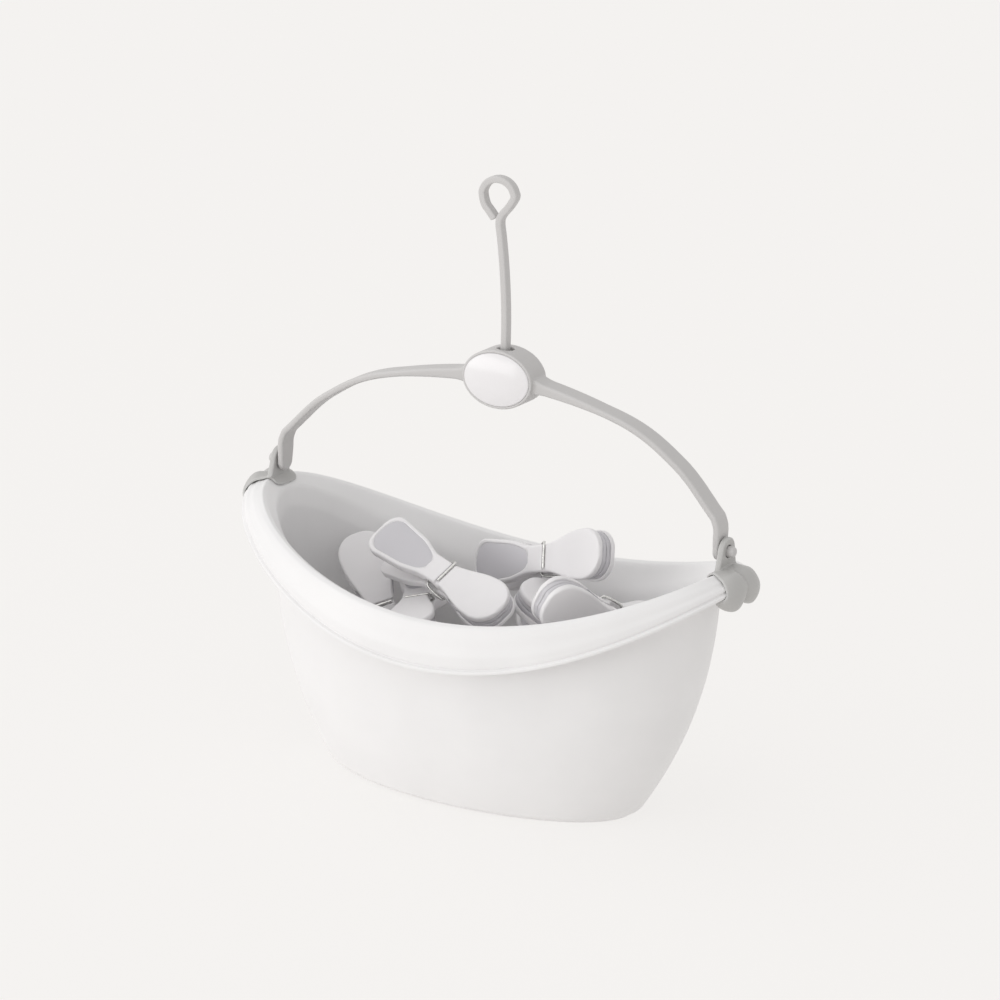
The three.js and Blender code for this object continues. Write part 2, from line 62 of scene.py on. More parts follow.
# %% Helpers for node trees and colours
def grow(tree, kind, inputs=None, **settings):
    node = tree.nodes.new(kind)
    for name, value in settings.items():
        setattr(node, name, value)
    for key, value in (inputs or {}).items():
        if isinstance(value, bpy.types.NodeSocket):
            tree.links.new(value, node.inputs[key])
        else:
            node.inputs[key].default_value = value
    return node


def sums(tree, operation, *values):
    return grow(tree, "ShaderNodeMath", dict(enumerate(values)), operation=operation).outputs[0]


def linear(*shades):
    parts = [shade / 255 for shade in shades]
    return [p / 12.92 if p <= 0.04045 else ((p + 0.055) / 1.055) ** 2.4 for p in parts]


print("a mid grey of 188 is", round(linear(188)[0], 3), "in linear light")

# %% [markdown]
# No real surface has one even colour or gloss. Each finish here starts from a noise in object space, which
# keeps its size on every piece. The noise moves the colour between two tones and the roughness between two
# values, and a fine one gives a grain that is too small to model.

# %% Helpers for finishes
noise_low, noise_high = 0.3, 0.7


def new_finish(name):
    finish = bpy.data.materials.new(name)
    finish.use_nodes = True
    tree = finish.node_tree
    place = grow(tree, "ShaderNodeTexCoord").outputs["Object"]
    return finish, tree, tree.nodes["Principled BSDF"], place


def noise_of(tree, place, scale, detail):
    inputs = {"Vector": place, "Scale": scale, "Detail": detail}
    return grow(tree, "ShaderNodeTexNoise", inputs).outputs["Fac"]


def two_tones(tree, noise, tones):
    ramp = grow(tree, "ShaderNodeValToRGB", {"Fac": noise})
    for stop, at, tone in zip(ramp.color_ramp.elements, (noise_low, noise_high), tones):
        stop.position = at
        stop.color = tone + [1]
    return ramp.outputs["Color"]


def roughen(tree, shader, noise, least, most):
    span = {"Value": noise, "From Min": noise_low, "From Max": noise_high, "To Min": least, "To Max": most}
    tree.links.new(grow(tree, "ShaderNodeMapRange", span).outputs["Result"], shader.inputs["Roughness"])


def add_grain(tree, shader, noise, strength, depth):
    bump = {"Height": noise, "Strength": strength, "Distance": depth}
    tree.links.new(grow(tree, "ShaderNodeBump", bump).outputs["Normal"], shader.inputs["Normal"])


print("a finish changes where its noise goes from", noise_low, "to", noise_high)

# %% [markdown]
# Moulded plastic is never one flat colour: the melt leaves faint clouds and the mould's fine grain breaks the
# gloss. A flat colour would do for a sketch, but it looks like a drawing. Here two noises drive colour, gloss
# and grain, and an attribute called corner, measured on each mesh, lightens the corners with a painted
# highlight.

# %% Moulded plastics
melt_scale, skin_scale, grain_strength = 26.0, 1500.0, 0.25
gloss_spread, plastic_ior = 0.04, 1.48
painted_highlight_white = (0.95, 0.95, 0.95, 1)


def moulded(name, shade, gloss, grain=0.012, cloud=0.02, edge_highlight=0.05):
    finish, tree, shader, place = new_finish(name)
    melt, skin = noise_of(tree, place, melt_scale, 3.0), noise_of(tree, place, skin_scale, 2.0)
    base = linear(*shade)
    tones = [[min(1.0, value * factor) for value in base] for factor in (1 - cloud, 1 + cloud)]
    # The corner attribute mixes a painted highlight, a lighter white, onto the convex edges.
    corner = grow(tree, "ShaderNodeAttribute", attribute_name="corner").outputs["Fac"]
    edge_light = sums(tree, "MULTIPLY", corner, edge_highlight)
    mix = grow(tree, "ShaderNodeMix", {"Factor": edge_light}, data_type="RGBA")
    tree.links.new(two_tones(tree, melt, tones), mix.inputs[6])
    mix.inputs[7].default_value = painted_highlight_white
    tree.links.new(mix.outputs[2], shader.inputs["Base Color"])
    roughen(tree, shader, melt, gloss - gloss_spread, gloss + gloss_spread)
    add_grain(tree, shader, skin, grain_strength, grain * mm)
    shader.inputs["IOR"].default_value = plastic_ior
    return finish


# The grey plastics carry a stronger painted highlight on their edges than the white ones.
white_plastic = moulded("white tub plastic", (240, 239, 239), 0.42)
grey_plastic = moulded("warm grey plastic", (199, 197, 196), 0.44, edge_highlight=0.16)
clip_plastic = moulded("darker grey clip plastic", (186, 185, 183), 0.4, edge_highlight=0.2)
badge_plastic = moulded("glossy white badge", (238, 236, 237), 0.16, grain=0.003, cloud=0.01)
peg_plastic = moulded("white peg plastic", (238, 236, 237), 0.36, grain=0.008)
soft_rubber = moulded("soft lilac grip", (205, 203, 207), 0.62, grain=0.03, edge_highlight=0.1)
plastics = [white_plastic, grey_plastic, clip_plastic, badge_plastic, peg_plastic, soft_rubber]
print("plastics:", ", ".join(plastic.name for plastic in plastics))

# %% [markdown]
# The pegs' springs are drawn steel wire. Drawing leaves fine lines along the wire, so its gloss is not
# even. A stretched noise would need the wire's own direction; at this size a fine noise in object space is
# enough.

# %% Drawn wire
def drawn_wire(name, dark=196, bright=226):
    finish, tree, shader, place = new_finish(name)
    shader.inputs["Metallic"].default_value = 1.0
    lines = noise_of(tree, place, 900.0, 4.0)
    tones = [linear(shade, shade, shade - 2) for shade in (dark, bright)]
    tree.links.new(two_tones(tree, lines, tones), shader.inputs["Base Color"])
    roughen(tree, shader, lines, 0.18, 0.32)
    add_grain(tree, shader, lines, 0.2, 0.01 * mm)
    return finish


spring_wire = drawn_wire("drawn spring wire")
print("wire:", spring_wire.name)

# %% [markdown]
# A finish paints a highlight on the outer edges of a moulding, so it has to know where they are. The corner
# value compares a point with the mean of its neighbours: where they lie behind it, the surface is convex.
# Painting the edges by hand would work too, but not on thousands of points.

# %% Marking the corners
def mark_corners(mesh, reach):
    count = len(mesh.vertices)
    place = np.empty(count * 3)
    mesh.vertices.foreach_get("co", place)
    place = place.reshape(-1, 3)
    normal = np.empty(count * 3)
    mesh.vertex_normals.foreach_get("vector", normal)
    pairs = np.empty(len(mesh.edges) * 2, dtype=np.int64)
    mesh.edges.foreach_get("vertices", pairs)
    a, b = pairs.reshape(-1, 2).T
    step = place[b] - place[a]
    size = np.maximum(np.linalg.norm(step, axis=1), 1e-9)
    bend = np.zeros(count)
    tally = np.maximum(np.bincount(np.concatenate([a, b]), minlength=count), 1)
    turned = normal.reshape(-1, 3)
    np.add.at(bend, a, -(step * turned[a]).sum(1) / size**2)
    np.add.at(bend, b, (step * turned[b]).sum(1) / size**2)
    corner = np.clip(2 * bend / tally * reach, 0, 1)
    mesh.attributes.new("corner", "FLOAT", "POINT").data.foreach_set("value", corner.astype(np.float32))


print("a corner is marked where a point stands out from its neighbours")

# %% [markdown]
# Every piece is handed over in the same way: it takes its finish, gets its corner attribute, rides on a
# body if it is given one and hides the solid nodes it stands for.

# %% Handing a piece over
def hand_over(piece, finish, slot, body, *nodes, reach=0.8 * mm):
    piece.data.materials.clear()
    piece.data.materials.append(finish)
    mark_corners(piece.data, reach)
    if body:
        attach(piece, body)
    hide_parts(*nodes)
    print(f"{piece.name}: {len(piece.data.polygons)} faces for {', '.join(nodes)}")


def add_object(name, mesh):
    piece = bpy.data.objects.new(name, mesh)
    bpy.context.scene.collection.objects.link(piece)
    return piece


print("pieces are handed over with a finish, a body and their nodes")

# %% [markdown]
# Four trees in Geometry Nodes do the work that follows a rule, a path or a list of places: rings for the
# tub, a strip for the hook, a wire for the springs, and one that lays the pegs. Each takes a small source
# mesh and a few named sizes, and ends by giving the result its finish.

# %% Making a tree
def new_tree(name, *sizes):
    tree = bpy.data.node_groups.new(name, "GeometryNodeTree")
    tree.is_modifier = True
    kinds = {int: "NodeSocketInt", float: "NodeSocketFloat"}
    tree.interface.new_socket("Source", in_out="INPUT", socket_type="NodeSocketGeometry")
    for label, kind in sizes:
        tree.interface.new_socket(label, in_out="INPUT", socket_type=kinds.get(kind, kind))
    tree.interface.new_socket("Finish", in_out="INPUT", socket_type="NodeSocketMaterial")
    tree.interface.new_socket("Piece", in_out="OUTPUT", socket_type="NodeSocketGeometry")
    return tree, tree.nodes.new("NodeGroupInput").outputs


def close_tree(tree, shape, finish):
    solid = grow(tree, "GeometryNodeRealizeInstances", {0: shape})
    smooth = grow(tree, "GeometryNodeSetShadeSmooth", {0: solid.outputs[0]})
    painted = grow(tree, "GeometryNodeSetMaterial", {"Geometry": smooth.outputs[0], "Material": finish})
    grow(tree, "NodeGroupOutput", {"Piece": painted.outputs[0]})


print("a tree takes a Source and gives a Piece")

# %% [markdown]
# The result of a tree is frozen into a plain mesh, because a model that leaves Blender takes no modifier
# with it. The source is only points, some of them joined into a line. What else the tree has to know about
# a point is kept on it as an attribute.

# %% Freezing a tree
def apply_modifiers(piece):
    ready = piece.evaluated_get(bpy.context.evaluated_depsgraph_get())
    mesh = bpy.data.meshes.new_from_object(ready)
    piece.modifiers.clear()
    piece.data = mesh
    return mesh


def freeze(name, source, tree, **values):
    worker = add_object(name, source)
    modifier = worker.modifiers.new("tree", "NODES")
    modifier.node_group = tree
    for item in tree.interface.items_tree:
        if item.in_out == "INPUT" and item.name in values:
            modifier[item.identifier] = values[item.name]
    apply_modifiers(worker).name = name
    bpy.data.meshes.remove(source)
    return worker


def point_mesh(name, points, path=False, **attributes):
    mesh = bpy.data.meshes.new(name)
    edges = [(i, i + 1) for i in range(len(points) - 1)] if path else []
    mesh.from_pydata([tuple(p) for p in points], edges, [])
    for label, values in attributes.items():
        vector = np.ndim(values[0]) == 1
        layer = mesh.attributes.new(label, "FLOAT_VECTOR" if vector else "FLOAT", "POINT")
        layer.data.foreach_set("vector" if vector else "value", np.asarray(values, np.float32).ravel())
    return mesh


print("trees are frozen into plain meshes")

# %% [markdown]
# The tub is one injection moulding: a flat oval foot, a bulging wall and a saddle rim that rolls outwards.
# It could be modelled by hand from a box, but it follows a rule. Each ring is an oval with a half length, a
# half depth and a height, and it rises towards its two ends by the square of the cosine, which gives the
# saddle. So the section is a list of rings, and a tree turns it round the oval. Cutting the corners of the
# list a few times rounds it as a mould maker's radius would.

# %% Rings and rounded lists
def ring(length, depth, height, rise=0.0):
    return np.array([length, depth, height, rise], float)


def moved(base, out, up):
    return base + np.array([out, out, up, 0])


def cut_corners(points, times, closed=False):
    points = np.asarray(points, float)
    for _ in range(times):
        ahead = np.roll(points, -1, axis=0) if closed else points[1:]
        here = points if closed else points[:-1]
        near = 0.75 * here + 0.25 * ahead
        far = 0.25 * here + 0.75 * ahead
        woven = np.stack([near, far], axis=1).reshape(-1, points.shape[1])
        points = woven if closed else np.vstack([points[:1], woven, points[-1:]])
    return points


def halved(points):
    points = np.asarray(points, float)
    middle = (points[:-1] + points[1:]) / 2
    return np.vstack([np.stack([points[:-1], middle], axis=1).reshape(-1, points.shape[1]), points[-1:]])


print("a closed list of 4 with its corners cut twice has", len(cut_corners(np.eye(4), 2, closed=True)))

# %% The tub's section
wall, bulge = 2.4, 2.3
foot, wall_top = ring(79, 40.5, 0), ring(114, 57.5, 76, 46)
lip, crest = ring(130, 73.5, 76, 46), ring(120.5, 67.5, 98.5, 30.5)


def wall_ring(step, inset=0.0):
    spread = 1 - (1 - step) ** bulge
    plan = foot + (wall_top - foot) * spread
    return ring(plan[0] - inset, plan[1] - inset, wall_top[2] * step, wall_top[3] * step)


band_mid = moved((lip + crest) / 2, 1.6, 0.96)
crest_out, crest_in = moved(crest, 2.3, -1.0), moved(crest, -2.3, -1.15)
lip_bottom, lip_top = moved(lip, 0.8, 0), moved(lip, 0.8, 1.5)
crease, band_low = moved(lip, -0.75, 2.0), moved(lip, -0.35, 3.2)
lower_swell, upper_swell = ring(0.4, 0.4, 0.2), ring(0.25, 0.25, 0.3)
sole = [ring(0, 0, 0), ring(50, 24, 0), ring(73, 34.5, 0), ring(76, 37.5, 0)]
outer_wall = [wall_ring(step) for step in np.linspace(0.03, 1, 24)]
under_rim = [moved(crest, -1, -3.4), moved(lip, -2.4, 0.8)]
band = [lip_bottom, lip_top, crease, band_low, 0.5 * (band_low + band_mid) + lower_swell, band_mid]
rolled_top = [0.5 * (band_mid + crest_out) + upper_swell, crest_out, crest, crest_in]
soft_edge = 0.7 * wall_ring(1, wall) + 0.3 * crest_in
inner_wall = [soft_edge] + [wall_ring(step, wall) for step in np.linspace(0.94, 0.08, 20)]
inner_floor = [ring(75.5, 37, wall), ring(50, 24, wall), ring(0, 0, wall)]
section = sole + outer_wall + under_rim + band + rolled_top + inner_wall + inner_floor
section = cut_corners(halved(section), 2)
print("tub section:", len(section), "rings")

# %% [markdown]
# The tree starts from a flat grid with one row for each ring. A point finds its ring by its row and its
# angle by its place in the row, and moves there. The two ends of a row meet, so they are merged.

# %% The tub's tree: rings round an oval
tree, given = new_tree("Rings round an oval", ("Rings", int), ("Around", int))
grid = grow(tree, "GeometryNodeMeshGrid", {"Vertices X": given["Rings"], "Vertices Y": given["Around"]})
index = grow(tree, "GeometryNodeInputIndex").outputs[0]
which = sums(tree, "FLOOR", sums(tree, "DIVIDE", index, given["Around"]))
along = sums(tree, "MODULO", index, given["Around"])
part = sums(tree, "DIVIDE", along, sums(tree, "SUBTRACT", given["Around"], 1.0))
angle = sums(tree, "MULTIPLY", part, 2 * math.pi)
cosine, sine = sums(tree, "COSINE", angle), sums(tree, "SINE", angle)
at_ring = {"Geometry": given["Source"], "Index": which}
plan = grow(tree, "GeometryNodeSampleIndex", at_ring, data_type="FLOAT_VECTOR")
tree.links.new(grow(tree, "GeometryNodeInputPosition").outputs[0], plan.inputs["Value"])
lift = grow(tree, "GeometryNodeSampleIndex", at_ring, data_type="FLOAT")
named = grow(tree, "GeometryNodeInputNamedAttribute", {"Name": "rise"}, data_type="FLOAT")
tree.links.new(named.outputs["Attribute"], lift.inputs["Value"])
half = grow(tree, "ShaderNodeSeparateXYZ", {0: plan.outputs[0]}).outputs
x, y = sums(tree, "MULTIPLY", half[0], cosine), sums(tree, "MULTIPLY", half[1], sine)
square = sums(tree, "MULTIPLY", cosine, cosine)
z = sums(tree, "MULTIPLY_ADD", lift.outputs[0], square, half[2])
spot = grow(tree, "ShaderNodeCombineXYZ", {0: x, 1: y, 2: z}).outputs[0]
shaped = grow(tree, "GeometryNodeSetPosition", {"Geometry": grid.outputs["Mesh"], "Position": spot})
sealed = grow(tree, "GeometryNodeMergeByDistance", {"Geometry": shaped.outputs[0], "Distance": 1e-6})
close_tree(tree, sealed.outputs[0], given["Finish"])
rings_tree = tree
print("tree:", tree.name, "with", len(tree.nodes), "nodes")

# %% [markdown]
# Now the tub itself is turned from its section. A closed moulding has a volume, so the sign of the volume
# tells whether its faces point outwards, and a count of open edges tells whether it is closed.

# %% The tub
source = point_mesh("rings", section[:, :3] * mm, rise=section[:, 3] * mm)
tub = freeze("tub_shell", source, rings_tree, Rings=len(section), Around=217, Finish=white_plastic)


def face_outward(mesh):
    work = bmesh.new()
    work.from_mesh(mesh)
    bmesh.ops.recalc_face_normals(work, faces=work.faces)
    if work.calc_volume(signed=True) < 0:
        bmesh.ops.reverse_faces(work, faces=work.faces)
    open_edges = sum(not edge.is_manifold for edge in work.edges)
    work.to_mesh(mesh)
    work.free()
    return open_edges


print("open edges on the tub:", face_outward(tub.data))
hand_over(tub, white_plastic, "white_plastic", "basket", "tub", reach=1.5 * mm)

# %% [markdown]
# Clips, handle and arms are lofts: loops of points joined in order and closed at both ends. A loft keeps
# full control of the section, which a bevel on a box would not.

# %% Lofts
def loft(loops):
    loops = [np.asarray(loop, float) for loop in loops]
    count = len(loops[0])
    faces = []
    for i in range(len(loops) - 1):
        for j in range(count):
            a, b = i * count + j, i * count + (j + 1) % count
            faces.append((a, b, b + count, a + count))
    last = (len(loops) - 1) * count
    faces += [tuple(reversed(range(count))), tuple(range(last, last + count))]
    return np.vstack(loops), faces


def smooth_outward(mesh):
    face_outward(mesh)
    mesh.polygons.foreach_set("use_smooth", [True] * len(mesh.polygons))


def mesh_of(name, *shells):
    mesh = bpy.data.meshes.new(name)
    points, faces = [], []
    for shell_points, shell_faces in shells:
        shift = len(points)
        points += [tuple(p * mm) for p in np.asarray(shell_points, float)]
        faces += [tuple(index + shift for index in face) for face in shell_faces]
    mesh.from_pydata(points, [], faces)
    smooth_outward(mesh)
    return mesh


def bar(axis, radius, start, end, sides=48, edge=0.0):
    turn = np.linspace(0, 2 * math.pi, sides, endpoint=False)
    stops = [(start, radius - edge), (start + edge, radius), (end - edge, radius), (end, radius - edge)]
    loops = []
    for at, r in stops if edge else [(start, radius), (end, radius)]:
        flat = [np.full(sides, at), r * np.cos(turn), r * np.sin(turn)]
        order = {"x": (0, 1, 2), "y": (2, 0, 1), "z": (1, 2, 0)}[axis]
        loops.append(np.stack([flat[i] for i in order], axis=1))
    return loft(loops)


print("a bar has", len(bar("x", 2, 0, 5)[0]), "points")

# %% [markdown]
# Where several forms of one moulding meet, the mould leaves soft fillets. Modelling each by hand is slow.
# Joining the forms in one voxel remesh and relaxing the result gives all fillets at once, at the price of
# many faces. Holes are cut between two remeshes, so that their edges are eased as well.

# %% One moulding from several forms
def add_remesh(piece, name, voxel):
    remesh = piece.modifiers.new(name, "REMESH")
    remesh.mode, remesh.voxel_size, remesh.use_smooth_shade = "VOXEL", voxel * mm, True


def fuse(name, shells, voxel, relax, cutters):
    piece = add_object(name, mesh_of(name, *shells))
    tools = [add_object("cutter", mesh_of("cutter", cutter)) for cutter in cutters]
    add_remesh(piece, "join", voxel)
    for tool in tools:
        cut = piece.modifiers.new("cut", "BOOLEAN")
        cut.operation, cut.solver, cut.object = "DIFFERENCE", "EXACT", tool
    add_remesh(piece, "again", voxel)
    ease = piece.modifiers.new("ease", "SMOOTH")
    ease.factor, ease.iterations = 0.5, relax
    smooth_outward(apply_modifiers(piece))
    for tool in tools:
        bpy.data.objects.remove(tool)
    return piece


print("forms are fused by a voxel remesh")

# %% [markdown]
# A grey clip snaps over each end of the rim. It follows the rim's own rings at a small gap, swells into two
# round lobes with a soft valley between them, tucks under the lip, ends inside in a short flap, and carries
# a pierced ear. Its section is drawn from moved rim rings, so it fits the rim by itself.

# %% The clips' section
gap, clip_wall = 0.35, 1.0
inside_top = wall_ring(1, wall)


def on_ring(base, turn):
    c, s = np.cos(turn), np.sin(turn)
    return np.array([base[0] * c, base[1] * s, base[2] + base[3] * c * c])


def clip_lines(lobe, round_off):
    far, drop, stand = gap + clip_wall, 0.5 + 6 * round_off + lobe, 1.2 * (1 - round_off)
    flap_end = crest_in + (0.05 + 0.42 * round_off) * (inside_top - crest_in)
    inner = [moved(lip, -3, -gap), moved(lip_bottom, gap, -gap), moved(lip_top, gap, gap)]
    inner += [moved(band_mid, gap, gap + stand), moved(crest_out, gap, gap), moved(crest, 0, gap)]
    inner += [moved(crest_in, -gap, 0.6 * gap), moved(flap_end, -gap, 0)]
    outer = [moved(lip, -3.6, -far - 0.35 * drop), moved(lip_bottom, 0.8 * lobe - 2.6, -far - drop)]
    outer += [moved(lip_bottom, far - 1.5 * round_off + lobe, -0.5 * drop)]
    outer += [moved(lip_top, far + 0.5 * lobe, 0.3 * far)]
    outer += [moved(band_mid, far + 0.45 * lobe, 0.8 * far + 0.85 * lobe + stand)]
    outer += [moved(crest_out, 0.7 * far, far + 0.25 * lobe), moved(crest, -0.2 * far, far)]
    outer += [moved(crest_in, -far, 0.7 * far), moved(flap_end, -far, 0)]
    return inner + outer[::-1]


print("a clip's section has", len(clip_lines(0, 1)), "lines")

# %% The clips' two forms
clip_turn, clip_taper, clip_shift, lobe_swell = 0.225, 0.085, 0.025, 2.9
pin_height, plate_face = 137.0, 117.0
ear_radius, ear_thickness, ear_edge = 6.5, 2.8, 0.4
ear_foot, ear_drop = 8.5, -7.3


def clip_shell(steps=72):
    narrow = [0, 0.2, 0.4, 0.6, 0.8, 1, 1, 1]
    spans = [clip_turn - clip_taper * up for up in narrow + narrow[::-1] + [0]]
    loops = []
    for aside in np.linspace(-1, 1, steps + 1):
        lobe = lobe_swell * abs(np.sin(np.pi * aside)) ** 0.8
        lines = clip_lines(lobe, math.sqrt(max(0, 1 - aside**2)))
        loop = [on_ring(base, aside * span - clip_shift) for base, span in zip(lines, spans)]
        loops.append(cut_corners(loop, 3, closed=True))
    return loft(loops)


def ear_shell():
    arc = [(ear_radius * np.cos(t), ear_radius * np.sin(t)) for t in np.linspace(0, np.pi, 33)]
    outline = [(ear_foot, ear_drop)] + arc + [(-ear_foot, ear_drop)]
    start, depth = plate_face + gap, ear_thickness - ear_edge
    loops = []
    for at, inset in ((0, ear_edge), (ear_edge, 0), (depth, 0), (ear_thickness, ear_edge)):
        shrink = 1 - inset / ear_radius
        inner = [(y * shrink, z * shrink if z > 0 else z) for y, z in outline]
        loops.append([(start + at, y, pin_height + z) for y, z in inner])
    return loft(loops)


print("forms of a clip:", len(clip_shell()[1]), "and", len(ear_shell()[1]), "faces")

# %% The clips
hole_points, hole_faces = bar("x", 3.05, plate_face - 3, plate_face + 8)
pin_hole = (hole_points + np.array([0, 0, pin_height]), hole_faces)
clip_right = fuse("clip_right", [clip_shell(), ear_shell()], 0.38, 4, [pin_hole])
clip_left = add_object("clip_left", clip_right.data.copy())
clip_left.data.transform(Matrix.Rotation(math.pi, 4, "Z"))
hand_over(clip_right, clip_plastic, "grey_plastic", "basket", "rim_clip_right", reach=1.2 * mm)
hand_over(clip_left, clip_plastic, "grey_plastic", "basket", "rim_clip_left", reach=1.2 * mm)

# %% [markdown]
# The handle is one strap that stands up from two pins, bends over and thickens towards the oval hub in its
# middle. A curve with a bevel would give an even strap; sections lofted along a smooth line can thicken and
# narrow. The line is drawn for one side, from the pin to the hub, and mirrored for the other.

# %% The handle's line
hub_height, hub_side = 198.0, 16.4


def smooth_line(points, steps):
    points = np.asarray(points, float)
    ends = np.vstack([2 * points[0] - points[1], points, 2 * points[-1] - points[-2]])
    line = []
    for p0, p1, p2, p3 in zip(ends, ends[1:], ends[2:], ends[3:]):
        v0, v1 = (p2 - p0) / 2, (p3 - p1) / 2
        cubic, square = 2 * p1 - 2 * p2 + v0 + v1, 3 * p2 - 3 * p1 - 2 * v0 - v1
        for t in np.linspace(0, 1, steps, endpoint=False):
            line.append(cubic * t**3 + square * t**2 + v0 * t + p1)
    return np.array(line + [points[-1]])


arch = smooth_line([(113.8, 152), (92, 173.5), (60, 189.5), (0, hub_height), (-60, 189.5)], 24)
arch = arch[arch[:, 0] > hub_side]
upright = [(115.4, pin_height), (115.4, 140), (115.4, 143), (115.5, 147.5)]
strap_line = cut_corners(np.vstack([upright, arch]), 3)
print("strap line:", len(strap_line), "points on each side")

# %% [markdown]
# The strap, the hub, the round end plates and the pins are the forms of one moulding. The hub is a short
# oval tube with a ledge inside, on which the badges sit, so its wall's outline is carried round the oval.

# %% The handle's forms
strap_width, strap_thickness, middle_gain, root_gain = 11, 3.2, 3.8, 3.4
hub_length, hub_tall = 18.2, 13.8


def round_box(half_width, half_height, corner, steps=5):
    corner = min(corner, 0.95 * half_width, 0.95 * half_height)
    points = []
    for quarter, (u, v) in enumerate([(1, 1), (-1, 1), (-1, -1), (1, -1)]):
        for t in np.linspace(0, np.pi / 2, steps) + quarter * np.pi / 2:
            across = u * (half_width - corner) + corner * np.cos(t)
            points.append((across, v * (half_height - corner) + corner * np.sin(t)))
    return np.array(points)


def strap_shell(side):
    ahead = np.gradient(strap_line, axis=0)
    ahead /= np.linalg.norm(ahead, axis=1, keepdims=True)
    loops = []
    for (x, z), (dx, dz) in zip(strap_line, ahead):
        root = max(0, 1 - (x - hub_side) / 8)
        thick = strap_thickness + middle_gain * max(0, 1 - x / 52) + root_gain * root**2
        width = strap_width - 1.2 * np.clip((143 - z) / 6, 0, 1)
        box = round_box(width / 2, thick / 2, 1.0)
        loops.append([(side * (x - dz * v), u, z + dx * v) for u, v in box])
    return loft(loops)


def hub_shell(sides=144):
    front = [(1.4, 7.6), (0.4, 7.6), (0.12, 7.48), (0, 7.2)]
    back = [(inset, -y) for inset, y in reversed(front)]
    wall_line = front + back + [(1.4, -6.1), (3.4, -6.1), (3.4, 6.1), (1.4, 6.1)]
    turn = np.linspace(0, 2 * np.pi, sides, endpoint=False)
    points, faces, count = [], [], len(wall_line)
    for c, s in zip(np.cos(turn), np.sin(turn)):
        points += [((hub_length - i) * c, y, hub_height + (hub_tall - i) * s) for i, y in wall_line]
    for i in range(sides):
        for j in range(count):
            a, b = i * count + j, i * count + (j + 1) % count
            c = ((i + 1) % sides) * count
            faces.append((a, b, c + (j + 1) % count, c + j))
    return np.array(points), faces


def end_forms(side):
    plate = bar("x", 4.9, plate_face - 3.2, plate_face, edge=0.6)
    pin = bar("x", 2.6, plate_face - 1.6, plate_face + 6.5, edge=0.9)
    out, up = np.array([side, 1, 1]), np.array([0, 0, pin_height])
    return [(points * out + up, faces) for points, faces in (plate, pin)]


print("forms of the handle:", len(strap_shell(1)[1]), "faces in a strap,", len(hub_shell()[1]), "in the hub")

# %% The handle
forms = [hub_shell()]
for side in (1, -1):
    forms += [strap_shell(side)] + end_forms(side)
hook_hole = bar("z", 4, hub_height + 6, hub_height + 20)
handle = fuse("carry_handle", forms, 0.45, 5, [hook_hole])
hand_over(handle, grey_plastic, "grey_plastic", "handle", "handle", reach=1.0 * mm)

# %% [markdown]
# A glossy domed badge closes the hub on each side. It is left bare here. A scaled ball would be round at
# its rim, so the dome is a loft of ovals with its own edge.

# %% The badges
badge_length, badge_tall = 16.9, 12.4


def badge_shell(sides=120):
    turn = np.linspace(0, 2 * np.pi, sides, endpoint=False)
    stops = [(0.55, 6.45), (0.985, 6.45), (1, 6.7), (1, 7.5), (0.985, 7.85)]
    dome = (0.96, 0.9, 0.8, 0.68, 0.55, 0.42, 0.28, 0.14, 0.03)
    stops += [(r, 7.9 + 1.7 * (1 - (r / 0.97) ** 2.4)) for r in dome]
    loops = []
    for r, depth in stops:
        wide, tall = badge_length * r, badge_tall * r
        loops.append([(wide * np.cos(t), -depth, hub_height + tall * np.sin(t)) for t in turn])
    return loft(loops)


badge_front = add_object("badge_front_dome", mesh_of("badge_front_dome", badge_shell()))
badge_back = add_object("badge_back_dome", badge_front.data.copy())
badge_back.data.transform(Matrix.Rotation(math.pi, 4, "Z"))
hand_over(badge_front, badge_plastic, "badge_plastic", "handle", "badge_front")
hand_over(badge_back, badge_plastic, "badge_plastic", "handle", "badge_back")

# %% [markdown]
# The hook is a flat strip bent into a pigtail loop. A strip that follows a line is work for a tree: the
# line becomes a curve, a rounded rectangle is swept along it, and a fixed normal keeps the strip from
# twisting.

# %% The strip's tree
tree, given = new_tree("Strip along a line", ("Width", float), ("Thickness", float), ("Corner", float))
curve = grow(tree, "GeometryNodeMeshToCurve", {0: given["Source"]})
held = grow(tree, "GeometryNodeSetCurveNormal", {0: curve.outputs[0]}, mode="FREE")
held.inputs["Normal"].default_value = (0, 1, 0)
sizes = {"Width": given["Width"], "Height": given["Thickness"]}
edge = grow(tree, "GeometryNodeCurvePrimitiveQuadrilateral", sizes, mode="RECTANGLE")
rounded = grow(tree, "GeometryNodeFilletCurve", {0: edge.outputs[0], "Radius": given["Corner"]}, mode="POLY")
rounded.inputs["Count"].default_value = 5
swept = grow(tree, "GeometryNodeCurveToMesh", {"Curve": held.outputs[0], "Profile Curve": rounded.outputs[0]})
swept.inputs["Fill Caps"].default_value = True
close_tree(tree, swept.outputs[0], given["Finish"])
strip_tree = tree
print("tree:", tree.name, "with", len(tree.nodes), "nodes")

# %% [markdown]
# The line runs up the stem, round the loop and back to the neck, leaning as the real one does. Its lower
# end carries a round foot that turns inside the hub. The two meshes are simply put together, because the
# foot and the strip are one moulding and their joint is hidden in the hub.

# %% The hook
stem = [(0, 204.6), (-0.1, 216), (-0.6, 228), (-1.6, 240), (-3.0, 252), (-4.7, 263)]
neck = [(-5.9, 270.2), (-4.6, 274.0), (-1.6, 277.8)]
tail = [(-14.0, 277.8), (-11.2, 274.6), (-8.6, 271.8)]
turn = np.radians(np.arange(0, 181, 20))
loop = [(-7.1 + 8.3 * c, 282.6 + 7.6 * s) for c, s in zip(np.cos(turn), np.sin(turn))]
hook_line = smooth_line(stem + neck + loop + tail, 6)
path = point_mesh("hook line", [(x * mm, 0, z * mm) for x, z in hook_line], path=True)
sizes = {"Width": 4.9 * mm, "Thickness": 3.2 * mm, "Corner": 0.7 * mm}
hook = freeze("hanging_hook", path, strip_tree, **sizes, Finish=grey_plastic)


